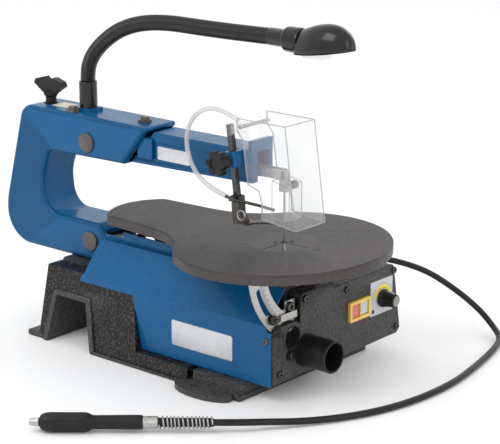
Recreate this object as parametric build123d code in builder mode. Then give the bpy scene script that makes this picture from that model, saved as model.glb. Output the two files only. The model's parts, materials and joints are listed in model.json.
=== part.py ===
from build123d import *
import math
import os

# Scroll saw with a tilting table, a pair of parallel rocker arms and a flexible shaft.
# Frame: origin on the bench under the blade, +X to the operator's right, +Y to the rear, +Z up.

# ---------- driving dimensions (mm) ----------
THROAT = 406.0            # blade to the inner face of the frame
TABLE_Z = 184.0           # top of the table, also the height of the tilt axis
TABLE_THICK = 8.0
RIM_DEPTH = 13.0
FRAME_HALF = 31.6         # half width of the C-frame
WALL = 4.0
UPPER_PIVOT = (318.8, 269.0)      # Y, Z
LOWER_PIVOT = (315.7, 131.4)
ROCKER_HALF = 8.0
HOLDER_Y = 14.0           # where the blade holders hang on the rocker tips
UPPER_HOLDER_Z = 272.0
LOWER_HOLDER_Z = 131.4
BLADE_LENGTH = 127.0
TENSION_Y = 420.0
MOTOR_Y, MOTOR_Z = 48.0, 104.0
CRANK_THROW = 6.4
RUN_GAP = 0.05            # radial gap of a running fit
PANEL_Y = -47.0           # front face of the control panel
ARC_R_OUT, ARC_R_IN = 118.0, 87.0
SLOT_R, SLOT_HALF = 105.0, 4.2
PORT_X, PORT_Z = -13.0, 55.0
BAR_X, BAR_SIDE, BAR_LEAN = -35.0, 7.5, 7.6
BAR_Y, BAR_Z = 53.8, 290.0        # centre of the boss that guides the bar
LAMP_Y = 346.0
NECK_R = 10.5
CORD_R = 4.2
HOSE_R = 3.0

os.makedirs("parts", exist_ok=True)
AXIS_X = Plane.YZ         # sketches seen from the right, extruded along X


def save(builder, name):
    """Label a finished piece and write it to its own file."""
    builder.part.label = name
    export_step(builder.part, f"parts/{name}.step")


def rod_x(x0, x1, y, z, radius):
    """A plain round rod along X, as a separate object."""
    rod = Cylinder(radius, x1 - x0, align=(Align.CENTER, Align.CENTER, Align.MIN), mode=Mode.PRIVATE)
    return Plane((x0, y, z), x_dir=(0, 1, 0), z_dir=(1, 0, 0)) * rod


def rod_y(y0, y1, x, z, radius):
    """A plain round rod along Y, as a separate object."""
    rod = Cylinder(radius, y1 - y0, align=(Align.CENTER, Align.CENTER, Align.MIN), mode=Mode.PRIVATE)
    return Plane((x, y0, z), x_dir=(1, 0, 0), z_dir=(0, 1, 0)) * rod


def rod_z(z0, z1, x, y, radius):
    """A plain round rod along Z, as a separate object."""
    rod = Cylinder(radius, z1 - z0, align=(Align.CENTER, Align.CENTER, Align.MIN), mode=Mode.PRIVATE)
    return Pos(x, y, z0) * rod


def block(x0, x1, y0, y1, z0, z1):
    """A plain block between two corners, as a separate object."""
    size = (x1 - x0, y1 - y0, z1 - z0)
    return Pos((x0 + x1) / 2, (y0 + y1) / 2, (z0 + z1) / 2) * Box(*size, mode=Mode.PRIVATE)


def screw_at(plane, radius=4.0, height=2.6, shank=2.0, length=8.0):
    """A button-head screw: its head stands on the plane and its shank goes below it."""
    with BuildPart(mode=Mode.PRIVATE) as screw:
        with BuildSketch(plane):
            Circle(radius)
        extrude(amount=height)
        fillet(screw.faces().sort_by(Axis(plane.origin, plane.z_dir))[-1].edges(), height * 0.45)
        with BuildSketch(plane.offset(height)):
            RegularPolygon(radius * 0.45, 6)
        extrude(amount=-height * 0.55, mode=Mode.SUBTRACT)
        with BuildSketch(plane):
            Circle(shank)
        extrude(amount=-length)
    return screw.part


def front_plane(x, z, y=PANEL_Y):
    """A plane on the front of the machine that looks towards the operator."""
    return Plane((x, y, z), x_dir=(1, 0, 0), z_dir=(0, -1, 0))


def left_plane(y, z, x):
    """A plane on the left of the machine that looks left."""
    return Plane((x, y, z), x_dir=(0, -1, 0), z_dir=(-1, 0, 0))


# ---------- base ----------
BASE_HALF = 73.0
FOOT_HALF = 94.0          # half width where the drafted walls meet the bench
BASE_WALL = 5.0
DECK_Z = 101.0
LIP = 2.5                 # how far the rims stand proud of the walls
COVER_FOOT_Z = 21.5       # lower edge of the sheet covers
REAR_Y = 357.0
SIDE = [(-8, 0), (REAR_Y + 1, 0), (REAR_Y, DECK_Z), (200, DECK_Z), (190, 92), (-8, 92)]
POCKET = [(14, -1), (14, 20), (-3, 20), (-3, 93), (184, 93), (194, DECK_Z - 7), (351, DECK_Z - 7),
          (351, 73), (268, 73), (248, -1)]
ARCH = [(255.5, -1), (276, 64.5), (331.5, 64.5), (339.3, -1)]
ARCH_RIM = [(247.5, 0), (269, 72), (338, 72), (347, 0)]
COVER_SEAT = [(-60, COVER_FOOT_Z - 1), (176.5, COVER_FOOT_Z - 1), (192.5, 93), (200, 110), (-60, 110)]
COVER_SEAT_X = 76.6
BOLT_X, BOLT_Y, BOLT_R = 104.0, 60.0, 4.5


def wall_section(grow):
    """The base seen from the front: upright foot, then walls that lean in up to the deck."""
    foot, top = FOOT_HALF + grow, BASE_HALF + grow
    return [(-foot, 0), (-foot, 6), (-top, DECK_Z), (top, DECK_Z), (foot, 6), (foot, 0)]


with BuildPart() as hollow:
    with BuildSketch(AXIS_X):
        Polygon(*POCKET, align=None)
    extrude(amount=BASE_HALF - BASE_WALL, both=True)
    with BuildSketch(AXIS_X):
        Polygon(*ARCH, align=None)
    extrude(amount=150, both=True)

# drafted side walls of the rear part, cut back where the sheet covers lie on them
with BuildPart() as walls:
    with BuildSketch(front_plane(0, 0, REAR_Y)):
        Polygon(*wall_section(0), align=None)
    extrude(amount=REAR_Y - 84)
    with BuildSketch(front_plane(0, 0, 250)):
        Polygon((-FOOT_HALF - LIP, 0), (-FOOT_HALF - LIP, 5), (FOOT_HALF + LIP, 5), (FOOT_HALF + LIP, 0),
                align=None)
    extrude(amount=250 - 84)
    add(block(0, 110, 83, 95, -1, 110), mode=Mode.SUBTRACT)
    with BuildSketch(AXIS_X):
        Polygon((80, 92), (190, 92), (200, DECK_Z), (200, 110), (80, 110), align=None)
    extrude(amount=100, both=True, mode=Mode.SUBTRACT)
    for side in (-1, 1):
        with BuildSketch(AXIS_X.offset(side * COVER_SEAT_X)):
            Polygon(*COVER_SEAT, align=None)
        extrude(amount=side * 40, mode=Mode.SUBTRACT)
    add(hollow.part, mode=Mode.SUBTRACT)

# raised rim round the arch, which follows the draft of the walls
with BuildPart() as rim:
    with BuildSketch(AXIS_X):
        Polygon(*ARCH_RIM, align=None)
    extrude(amount=110, both=True)
    with BuildSketch(front_plane(0, 0, REAR_Y)):
        Polygon(*wall_section(LIP), align=None)
    extrude(amount=REAR_Y, mode=Mode.INTERSECT)
    add(hollow.part, mode=Mode.SUBTRACT)

# front walls below the sheet covers, the bench flange with its bolt lugs, and the rear feet
with BuildPart() as foot:
    with BuildSketch(front_plane(0, 0, 75)):
        Polygon((-91, 0), (-90, COVER_FOOT_Z - 1), (90, COVER_FOOT_Z - 1), (91, 0), align=None)
    extrude(amount=83)
    with BuildSketch(Plane.XY):
        with Locations((0, 38)):
            Rectangle(2 * FOOT_HALF + 8, 96)
        with Locations((BOLT_X, 45), (-BOLT_X, 45)):
            Ellipse(20, 46)
        with Locations((117, 90)):
            Rectangle(84, 204)
    extrude(amount=7)
    for side in (-1, 1):
        low, high = sorted((side * FOOT_HALF, side * (FOOT_HALF - 22)))
        add(block(low, high, 345, 379, 0, 7))
    add(hollow.part, mode=Mode.SUBTRACT)
    for side in (-1, 1):
        add(rod_z(-1, 8, side * BOLT_X, BOLT_Y, BOLT_R), mode=Mode.SUBTRACT)

with BuildPart() as base:
    with BuildSketch(AXIS_X):
        Polygon(*SIDE, align=None)
    extrude(amount=BASE_HALF, both=True)
    add(hollow.part, mode=Mode.SUBTRACT)
    add(walls.part)
    add(rim.part)
    add(foot.part)
    # saddle that the C-frame stands on
    with BuildSketch(Plane.XY.offset(DECK_Z)):
        with Locations((0, 327)):
            RectangleRounded(104, 60, 12)
    extrude(amount=3)
save(base, "base_casting")

# ---------- control panel, a shallow tray open to the rear ----------
PANEL = [(-76.5, 24), (-76.5, 98.5), (-32, 98.5), (-24, 93), (-24, 131), (41.5, 131), (41.5, 123.5),
         (172, 125), (188, 33), (181, 26)]
PANEL_ROUND = {(-76.5, 98.5): 13, (-24, 131): 5, (172, 125): 7, (-32, 98.5): 4}
PANEL_THICK = 3.0
PANEL_DEPTH = 19.0
WINDOW = (-39.5, 78.0, 15.0)
SWITCH = (94.7, 81.5)
DIAL = (146.0, 84.0)
PORT_WING = 32.0
WINGS = [(PORT_X - PORT_WING, PORT_Z + 1.5), (PORT_X + PORT_WING, PORT_Z - 1.5)]


def panel_outline(inset):
    """The panel's outline, or a smaller copy of it."""
    with BuildSketch(mode=Mode.PRIVATE) as shape:
        Polygon(*PANEL, align=None)
        for point, radius in PANEL_ROUND.items():
            fillet(shape.vertices().sort_by_distance(Vector(*point, 0))[0], radius)
        if inset:
            offset(amount=-inset, mode=Mode.REPLACE)
    return shape.sketch


with BuildPart() as panel:
    with BuildSketch(front_plane(0, 0)):
        add(panel_outline(0))
    extrude(amount=-PANEL_DEPTH)
    with BuildSketch(front_plane(0, 0, PANEL_Y + PANEL_THICK)):
        add(panel_outline(PANEL_THICK))
    extrude(amount=-PANEL_DEPTH, mode=Mode.SUBTRACT)
    # the upper left corner stays open for the bevel scale
    with BuildSketch(front_plane(0, 0, PANEL_Y + PANEL_THICK)):
        Polygon((-80, 40), (-80, 112), (-30, 112), (-18, 106), (-18, 74), (2, 40), align=None)
    extrude(amount=-40, mode=Mode.SUBTRACT)
    with BuildSketch(front_plane(0, 0)):
        with Locations((PORT_X, PORT_Z)):
            Circle(18)
        with Locations(WINDOW[:2]):
            Circle(WINDOW[2])
        with Locations(SWITCH):
            Rectangle(38, 21)
        with Locations(DIAL):
            Circle(4)
    extrude(amount=-PANEL_THICK, mode=Mode.SUBTRACT)
    fillet(panel.faces().sort_by(Axis.Y)[0].outer_wire().edges(), 1.2)
    # feet that screw to the front wall of the base
    for x in (-52, 48):
        add(block(x - 9, x + 9, PANEL_Y + PANEL_THICK, -8, 27, 31))
save(panel, "front_panel")

BRACKET_BOLT = (-38.0, 117.0)
with BuildPart() as panel_screws:
    for x, z in ((-15, 123), (69.5, 113.6), (171, 116.4), (179, 36), (-64, 36)):
        add(screw_at(front_plane(x, z), 4.6, 2.8, 2, 7))
    for x, z in WINGS:
        add(screw_at(front_plane(x, z, PANEL_Y - 3), 4.2, 2.8, 2, 9))
    add(screw_at(front_plane(*BRACKET_BOLT, -40.2), 6.5, 4.0, 3, 1.8))
save(panel_screws, "panel_screws")

# ---------- side covers, folded sheet ----------
COVER_X = 78.6            # outer face of the upright sheet
SHEET = 1.6
CREASE_Z = 100.0
COVER_FRONT, COVER_REAR = -44.5, 290.0
SLOPE_TOP = (43.0, 143.9)          # distance from the middle, height
UPSTAND_X, UPSTAND_Z = 35.0, 157.0
FOLD = [(COVER_X, COVER_FOOT_Z), (COVER_X, CREASE_Z), SLOPE_TOP, (UPSTAND_X, SLOPE_TOP[1]),
        (UPSTAND_X, UPSTAND_Z)]
SHAFT_HOLE_R = 14.0


def cover(side):
    """One folded cover: an upright face, a slope above its crease, a ledge and a short upstand."""
    with BuildPart(mode=Mode.PRIVATE) as piece:
        with BuildSketch(Plane((0, COVER_FRONT, 0), x_dir=(1, 0, 0), z_dir=(0, -1, 0))):
            with BuildLine():
                fold = Polyline(*[(side * x, z) for x, z in FOLD])
                offset(fold, amount=SHEET, side=Side.LEFT if side > 0 else Side.RIGHT)
            make_face()
        extrude(amount=COVER_FRONT - COVER_REAR)
        with BuildSketch(AXIS_X):
            Polygon((300, 0), (300, 91.5), (191.6, 91.5), (176.4, 21), (176.4, 0), align=None)
            Polygon((284, 104), (284, 170), (300, 170), (300, 90), (292, 90), align=None)
            # room for the front trunnion, and for the table's tail when it tilts
            Polygon((-60, 141), (-60, 170), (4, 170), (4, 141), align=None)
            Polygon((-60, 93), (-60, 170), (-38, 170), (-38, 93), align=None)
            Polygon((250, 149), (250, 170), (300, 170), (300, 149), align=None)
        extrude(amount=100, both=True, mode=Mode.SUBTRACT)
    return piece.part


with BuildPart() as left_cover:
    add(cover(-1))
save(left_cover, "left_cover")

with BuildPart() as right_cover:
    add(cover(1))
    with BuildSketch(AXIS_X):
        Polygon((-60, 0), (-60, 160), (-2, 160), (-2, 0), align=None)
    extrude(amount=100, both=True, mode=Mode.SUBTRACT)
    add(rod_x(40, 90, MOTOR_Y, MOTOR_Z, SHAFT_HOLE_R), mode=Mode.SUBTRACT)
save(right_cover, "right_cover")

with BuildPart() as cover_screws:
    add(screw_at(left_plane(-36.5, 81.0, -COVER_X), 4.2, 3.4, 2, 1.9))
    for y, z in ((110, 34), (110, 88), (280, 96)):
        add(screw_at(Plane((COVER_X, y, z), x_dir=(0, 1, 0), z_dir=(1, 0, 0)), 4.2, 3.4, 2, 1.9))
save(cover_screws, "cover_screws")

# ---------- C-frame, two half shells ----------
BOSS_TOP = 309.5
OUTLINE = [(287, 104), (489, 104), (485, 165), (447, 305), (207, 305), (252, 249.5),
           (THROAT - 10, 246.5), (THROAT + 4, 206), (THROAT - 1, 157.5), (303, 158.5), (287, 140)]
OUTLINE_ROUND = {1: 46, 2: 60, 3: 22, 4: 3, 5: 4, 6: 9, 7: 50, 8: 30, 9: 4}


def shell(side):
    """Half of the hollow C-frame, split on the middle plane."""
    with BuildPart(mode=Mode.PRIVATE) as half:
        with BuildSketch(AXIS_X) as outline:
            Polygon(*OUTLINE, align=None)
            for index, radius in OUTLINE_ROUND.items():
                fillet(outline.vertices().sort_by_distance(Vector(*OUTLINE[index], 0))[0], radius)
        extrude(amount=side * FRAME_HALF)
        skin = half.faces().sort_by(Axis.X)[-1 if side > 0 else 0]
        fillet(skin.edges(), 6)
        with BuildSketch(AXIS_X) as hollow:
            add(offset(outline.sketch_local, amount=-WALL, mode=Mode.PRIVATE))
        extrude(amount=side * (FRAME_HALF - WALL), mode=Mode.SUBTRACT)
        # the rocker arms leave through the open front ends
        add(block(-24, 24, 195, 262, 252, 299.4), mode=Mode.SUBTRACT)
        add(block(-24, 24, 280, 295, 108, 152), mode=Mode.SUBTRACT)
        for y, z in (UPPER_PIVOT, LOWER_PIVOT):
            add(rod_x(-40, 40, y, z, 6.0), mode=Mode.SUBTRACT)
        # boss under the lamp
        add(block(min(0, side * 13), max(0, side * 13), LAMP_Y - 14, LAMP_Y + 14, 303, BOSS_TOP))
        with Locations((0, TENSION_Y, 300)):
            Cylinder(10, 30, mode=Mode.SUBTRACT)
    return half.part


for side, name in ((-1, "frame_left_shell"), (1, "frame_right_shell")):
    with BuildPart() as frame_half:
        add(shell(side))
    save(frame_half, name)

CAP_R, CAP_THICK = 13.5, 3.2
with BuildPart() as pivot_caps:
    for y, z in (UPPER_PIVOT, LOWER_PIVOT):
        for side in (-1, 1):
            low = FRAME_HALF if side > 0 else -FRAME_HALF - CAP_THICK
            add(rod_x(low, low + CAP_THICK, y, z, CAP_R))
    caps = pivot_caps.faces().group_by(Axis.X)
    chamfer(caps[0].edges() + caps[-1].edges(), 0.8)
save(pivot_caps, "pivot_caps")

for (y, z), name in ((UPPER_PIVOT, "upper_pivot_pin"), (LOWER_PIVOT, "lower_pivot_pin")):
    with BuildPart() as pivot_pin:
        add(rod_x(-FRAME_HALF, FRAME_HALF, y, z, 6.0))
    save(pivot_pin, name)

# ---------- narrow arm casing with its nose ----------
CASE_HALF = 20.0
SUNK_FIELD = [(101, 286), (217, 286.5), (240, 257.5), (114, 259.5)]
with BuildPart() as arm_casing:
    with BuildSketch(AXIS_X):
        Polygon((42, 300), (42, 258), (246.5, 252.2), (204, 299), align=None)
    extrude(amount=CASE_HALF, both=True)
    fillet(arm_casing.edges().filter_by(Axis.Y, 30).group_by(Axis.Z)[-1], 4)
    add(block(-17, 17, 30, 260, 240, 295), mode=Mode.SUBTRACT)
    # shallow sunk field on both sides
    for side in (-1, 1):
        with BuildSketch(AXIS_X.offset(side * CASE_HALF)):
            Polygon(*SUNK_FIELD, align=None)
        extrude(amount=-side * 1.2, mode=Mode.SUBTRACT)
    # nose plate, with a notch for the rocker tip
    with BuildSketch(Plane((0, 42, 0), x_dir=(1, 0, 0), z_dir=(0, -1, 0))):
        Polygon((-20, 258), (-20, 312), (20, 312), (20, 267), (14, 267), (14, 297), (-9, 297),
                (-9, 258), align=None)
    extrude(amount=6)
    # the tongue that slips into the C-frame
    add(block(-23.5, -20, 206, 232, 262, 290))
    add(block(20, 23.5, 206, 232, 262, 290))
    # boss that guides the hold-down bar
    with BuildSketch(Plane((0, BAR_Y, BAR_Z), x_dir=(1, 0, 0), z_dir=(0, 0, 1)).rotated((-BAR_LEAN, 0, 0))):
        with Locations((-31, 0)):
            RectangleRounded(26, 17, 3)
    extrude(amount=10, both=True)
    guide = Plane((BAR_X, BAR_Y, BAR_Z), x_dir=(1, 0, 0), z_dir=(0, 0, 1)).rotated((-BAR_LEAN, 0, 0))
    with BuildSketch(guide):
        Rectangle(BAR_SIDE + 0.7, BAR_SIDE + 0.7)
    extrude(amount=20, both=True, mode=Mode.SUBTRACT)
    add(rod_x(-50, -38, BAR_Y, BAR_Z, 3.05), mode=Mode.SUBTRACT)
save(arm_casing, "arm_casing")

# clear block on top of the nose, whose two ears carry the guard's pin
with BuildPart() as guard_hinge:
    add(block(-16, 16, 44, 60, 300.1, 306))
    for x in (-20, 16):
        with BuildSketch(AXIS_X.offset(x)):
            with BuildLine():
                Polyline((43, 300.1), (43, 331), (47, 336.5), (55, 336.5), (60, 328), (60, 300.1), (43, 300.1))
            make_face()
        extrude(amount=4)
    add(rod_x(-30, 30, 50, 330, 2.5), mode=Mode.SUBTRACT)
save(guard_hinge, "guard_hinge")

with BuildPart() as guard_pin:
    add(rod_x(-27.6, 27.6, 50, 330, 2.5))
save(guard_pin, "guard_pivot_pin")

with BuildPart() as top_clips:
    for x, y in ((-20.5, 355), (-4, 236)):
        add(block(x - 7, x + 6, y - 7, y + 7, 305, 308.5))
        add(block(x - 4, x + 4, y - 5, y + 5, 308.5, 313))
    fillet(top_clips.edges().filter_by(Axis.Z), 1.2)
save(top_clips, "top_clips")

# ---------- rockers ----------
def rocker(pivot, tip_z, rear_z, half_height, name):
    """A rocker arm: a bar along Y with a pivot bore, a forked tip and a rear eye."""
    pivot_y, pivot_z = pivot
    with BuildPart() as arm:
        with BuildSketch(AXIS_X):
            with BuildLine():
                Polyline((30, tip_z - 6), (30, tip_z + 6), (70, pivot_z + half_height),
                         (TENSION_Y + 12, rear_z + 8), (TENSION_Y + 12, rear_z - 8),
                         (70, pivot_z - half_height), (30, tip_z - 6))
            make_face()
            with Locations(pivot):
                Circle(half_height + 4)
        extrude(amount=ROCKER_HALF, both=True)
        for low, high in ((-12, -7), (7, 12)):
            add(block(low, high, 20, 52, tip_z - 20, tip_z + 20), mode=Mode.SUBTRACT)
        # lightening channels on both sides
        for side in (-1, 1):
            with BuildSketch(AXIS_X.offset(side * ROCKER_HALF)):
                with Locations((185, pivot_z)):
                    SlotOverall(200, half_height)
            extrude(amount=-side * 5, mode=Mode.SUBTRACT)
        # forked tip
        with BuildSketch(AXIS_X):
            with Locations((18, tip_z)):
                Rectangle(36, 12)
        extrude(amount=7, both=True)
        add(block(-4, 4, -2, 25, tip_z - 20, tip_z + 20), mode=Mode.SUBTRACT)
        add(rod_x(-9, 9, pivot_y, pivot_z, 6.0 + RUN_GAP), mode=Mode.SUBTRACT)
        with Locations((0, TENSION_Y, rear_z)):
            Cylinder(4.2, 60, mode=Mode.SUBTRACT)
        add(rod_x(-9, 9, HOLDER_Y, tip_z, 2.0), mode=Mode.SUBTRACT)
        if name == "lower_rocker":
            # lug that the connecting rod drives
            add(rod_x(6, 11.5, MOTOR_Y, LOWER_HOLDER_Z, 5))
    save(arm, name)


rocker(UPPER_PIVOT, UPPER_HOLDER_Z, 272, 9, "upper_rocker")
rocker(LOWER_PIVOT, LOWER_HOLDER_Z, 131, 8, "lower_rocker")

for z, name, radius in ((UPPER_HOLDER_Z, "upper_clamp_pin", 2.0), (LOWER_HOLDER_Z, "lower_clamp_pin", 2.0)):
    with BuildPart() as clamp_pin:
        add(rod_x(-8, 8, HOLDER_Y, z, radius))
    save(clamp_pin, name)

# ---------- blade and its holders ----------
def holder(z, towards, bore, name):
    """A blade holder: a block on the rocker tip with a jaw that grips the blade's end."""
    with BuildPart() as piece:
        add(block(-3.5, 3.5, -6, 19, z - 5, z + 5))
        low, high = sorted((z, z + towards * 22))
        add(block(-3.5, 3.5, -6, 6, low, high))
        add(block(-0.4, 0.4, -7, 2, low - 6, high + 6), mode=Mode.SUBTRACT)
        add(rod_x(-5, 5, HOLDER_Y, z, bore), mode=Mode.SUBTRACT)
        add(rod_x(-5, 5, -3.7, z + towards * 15, 1.9), mode=Mode.SUBTRACT)
        fillet(piece.edges().filter_by(Axis.X).group_by(Axis.Y)[0], 1.5)
    save(piece, name)


holder(UPPER_HOLDER_Z, -1, 2.0 + RUN_GAP, "upper_blade_clamp")
holder(LOWER_HOLDER_Z, 1, 2.7, "lower_blade_clamp")

with BuildPart() as blade:
    blade_low = (LOWER_HOLDER_Z + UPPER_HOLDER_Z - BLADE_LENGTH) / 2
    add(block(-0.25, 0.25, -1.5, 1.5, blade_low, blade_low + BLADE_LENGTH))
    # fine teeth on the front edge
    for index in range(40):
        z = LOWER_HOLDER_Z + 28 + index * 2.0
        add(block(-0.25, 0.25, -2.0, -1.4, z, z + 1.0))
save(blade, "blade")

with BuildPart() as clamp_screws:
    for z in (UPPER_HOLDER_Z - 15, LOWER_HOLDER_Z + 15):
        add(rod_x(-3.5, 10, -3.7, z, 1.9))
        add(rod_x(10, 17, -3.7, z, 5.5))
save(clamp_screws, "clamp_screws")

# ---------- tension rod and knob ----------
with BuildPart() as tension_rod:
    with Locations((0, TENSION_Y, 215.5)):
        Cylinder(3.0, 205)
    with Locations((0, TENSION_Y, 116)):
        Cylinder(6.0, 6)
save(tension_rod, "tension_rod")

with BuildPart() as tension_knob:
    with BuildSketch(Plane.XZ.offset(-TENSION_Y)):
        with BuildLine():
            Polyline((3.05, 287), (7.6, 287), (7.6, 314), (10, 317), (10, 322), (3.05, 322), (3.05, 287))
        make_face()
    revolve(axis=Axis((0, TENSION_Y, 0), (0, 0, 1)))
    with BuildSketch(AXIS_X):
        with BuildLine():
            Polyline((TENSION_Y - 5, 316), (TENSION_Y - 28, 331), (TENSION_Y - 25, 337),
                     (TENSION_Y - 9, 341.5), (TENSION_Y, 335), (TENSION_Y + 9, 341.5),
                     (TENSION_Y + 25, 337), (TENSION_Y + 28, 331), (TENSION_Y + 5, 316),
                     (TENSION_Y - 5, 316))
        make_face()
    extrude(amount=5.5, both=True)
    with Locations((0, TENSION_Y, 300)):
        Cylinder(3.05, 46, mode=Mode.SUBTRACT)
save(tension_knob, "tension_knob")

# ---------- table ----------
TAIL_HALF = 56.0
FLANK = [(-91, 105), (-74, 128)]


def table_outline(grow):
    """The table's plan: a broad elliptical front that narrows to a tail. A negative grow shrinks it."""
    front_x, front_y = 149.0 + grow, 135.0 + grow
    start = (-front_x * math.cos(math.radians(28)), 2.9 + front_y * math.sin(math.radians(28)))
    tail = TAIL_HALF + grow
    with BuildSketch(mode=Mode.PRIVATE) as plan:
        with BuildLine():
            EllipticalCenterArc((0, 2.9), front_x, front_y, start_angle=152, arc_size=236)
            flank = [(x + grow * 0.8 * (-1), y - grow * 0.6 * (-1)) for x, y in FLANK]
            for side in (1, -1):
                Spline([(side * start[0], start[1])] + [(side * x, y) for x, y in flank]
                       + [(-side * (tail + 5), 178)],
                       tangents=[(side * 0.55, 1), (side * 0.09, 1)])
                Line((-side * (tail + 5), 178), (-side * tail, 258))
            ThreePointArc((-tail, 258), (0, 283.5 + grow), (tail, 258))
        make_face()
    return plan.sketch


INSERT_R = 46.0
with BuildPart() as table:
    with BuildSketch(Plane.XY.offset(TABLE_Z)):
        add(table_outline(0))
    extrude(amount=-RIM_DEPTH)
    fillet(table.faces().sort_by(Axis.Z)[-1].edges(), 1.5)
    with BuildSketch(Plane.XY.offset(TABLE_Z - TABLE_THICK)):
        add(table_outline(-6))
    extrude(amount=-RIM_DEPTH, mode=Mode.SUBTRACT)
    with BuildSketch(Plane.XY.offset(TABLE_Z)):
        Circle(INSERT_R)
    extrude(amount=-3, mode=Mode.SUBTRACT)
    with BuildSketch(Plane.XY.offset(TABLE_Z)):
        Circle(38)
    extrude(amount=-20, mode=Mode.SUBTRACT)
    # kerf from the insert to the front edge, for threading a blade
    add(block(-0.6, 0.6, -60, -40, 150, 190), mode=Mode.SUBTRACT)
save(table, "table")

with BuildPart() as insert:
    with BuildSketch(Plane.XY.offset(TABLE_Z)):
        Circle(INSERT_R - 0.15)
        Circle(3.5, mode=Mode.SUBTRACT)
        for angle, reach in ((180, 40), (222, 34), (270, 40)):
            with Locations(Location((reach / 2 * math.cos(math.radians(angle)),
                                     reach / 2 * math.sin(math.radians(angle)), 0), (0, 0, angle))):
                SlotOverall(reach, 1.6, mode=Mode.SUBTRACT)
        with Locations((-9, 7), (8, -6)):
            Circle(2.4, mode=Mode.SUBTRACT)
    extrude(amount=-2.8)
save(insert, "table_insert")

# ---------- trunnions: sectors on the table, cradles on the base ----------
FRONT_SECTOR_R, REAR_SECTOR_R = 60.0, 36.0
with BuildPart() as sectors:
    for y0, y1, outer, inner in ((-24, -16, FRONT_SECTOR_R, 46.0), (226, 234, REAR_SECTOR_R, 24.0)):
        with BuildSketch(Plane((0, y1, TABLE_Z), x_dir=(1, 0, 0), z_dir=(0, -1, 0))):
            Circle(outer)
            Circle(inner, mode=Mode.SUBTRACT)
            with Locations((0, outer)):
                Rectangle(4 * outer, 2 * (outer + TABLE_THICK), mode=Mode.SUBTRACT)
        extrude(amount=y1 - y0)
save(sectors, "trunnion_sectors")

with BuildPart() as cradles:
    add(block(-32, 32, -24, 0, 92, 98))
    add(block(-32, 32, -24, -16, 92, 140))
    add(rod_y(-26, -14, 0, TABLE_Z, FRONT_SECTOR_R + 0.35), mode=Mode.SUBTRACT)
    with BuildPart(mode=Mode.PRIVATE) as rear_cradle:
        add(block(-36, 36, 224, 236, DECK_Z, 107))
        for side in (-1, 1):
            add(block(min(side * 16, side * 32), max(side * 16, side * 32), 226, 234, DECK_Z, 156))
        add(rod_y(224, 238, 0, TABLE_Z, REAR_SECTOR_R + 0.35), mode=Mode.SUBTRACT)
    add(rear_cradle.part)
save(cradles, "trunnion_cradles")

# ---------- bevel scale and its clamp ----------
ARC_FRONT, ARC_THICK = -42.5, 2.0


def on_arc(radius, angle):
    """A point of the bevel scale; the angle runs down from the table's left."""
    turn = math.radians(angle)
    return (-radius * math.cos(turn), TABLE_Z - radius * math.sin(turn))


def arc_band(outer, inner, start, end):
    """The closed outline of a band of the scale, for use inside BuildLine."""
    middle = (start + end) / 2
    ThreePointArc(on_arc(outer, start), on_arc(outer, middle), on_arc(outer, end))
    Line(on_arc(outer, end), on_arc(inner, end))
    ThreePointArc(on_arc(inner, end), on_arc(inner, middle), on_arc(inner, start))
    Line(on_arc(inner, start), on_arc(outer, start))


CLAMP_ANGLE, ARC_START, ARC_END = 46.0, 10.0, 57.0
SLOT_START, SLOT_END = 18.5, 51.0
with BuildPart() as bevel_arc:
    with BuildSketch(Plane((0, ARC_FRONT, 0), x_dir=(1, 0, 0), z_dir=(0, -1, 0))):
        with BuildLine():
            arc_band(ARC_R_OUT, ARC_R_IN, ARC_START, ARC_END)
        make_face()
        with BuildLine():
            arc_band(SLOT_R + SLOT_HALF, SLOT_R - SLOT_HALF, SLOT_START, SLOT_END)
        make_face(mode=Mode.SUBTRACT)
        with Locations(on_arc(SLOT_R, SLOT_START), on_arc(SLOT_R, SLOT_END)):
            Circle(SLOT_HALF, mode=Mode.SUBTRACT)
    extrude(amount=-ARC_THICK)
    # flange under the table plate
    with BuildSketch(Plane((0, ARC_FRONT, 0), x_dir=(1, 0, 0), z_dir=(0, -1, 0))):
        with Locations((-99, 169.5)):
            Rectangle(36, 13)
    extrude(amount=-ARC_THICK)
    add(block(-117, -81, ARC_FRONT, ARC_FRONT + 14, 174, 176))
save(bevel_arc, "bevel_arc")

clamp_x, clamp_z = on_arc(SLOT_R, CLAMP_ANGLE)
with BuildPart() as bevel_clamp:
    # bracket behind the scale, fixed to the front wall of the base
    add(block(clamp_x - 7, clamp_x + 46, -40.2, -38.4, clamp_z - 7, clamp_z + 7))
    add(block(clamp_x + 12, clamp_x + 46, -40.2, -38.4, clamp_z - 24, clamp_z + 7))
    add(block(clamp_x + 14, clamp_x + 44, -40.2, -8, clamp_z - 24, clamp_z - 18))
    # pointer plate in front of the scale
    add(block(clamp_x + 14, clamp_x + 45, -44.6, -43.2, clamp_z - 6, clamp_z + 3))
    add(block(clamp_x + 40, clamp_x + 44, -44, -38.5, clamp_z - 4, clamp_z + 2))
    # plate that takes the bracket's bolt
    add(block(clamp_x + 26, clamp_x + 46, -40.2, -38.4, clamp_z, clamp_z + 17))
    add(rod_y(-50, -30, clamp_x, clamp_z, 3.05), mode=Mode.SUBTRACT)
save(bevel_clamp, "bevel_clamp")

with BuildPart() as bevel_knob:
    add(rod_y(-51, -38.5, clamp_x, clamp_z, 3.0))
    knob_plane = Plane((clamp_x, -43.5, clamp_z), x_dir=(1, 0, 0), z_dir=(0, -1, 0))
    with BuildSketch(knob_plane):
        RegularPolygon(6.5, 6)
    extrude(amount=5)
    fillet(bevel_knob.faces().sort_by(Axis.Y)[0].edges(), 0.8)
save(bevel_knob, "bevel_lock_knob")

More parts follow.
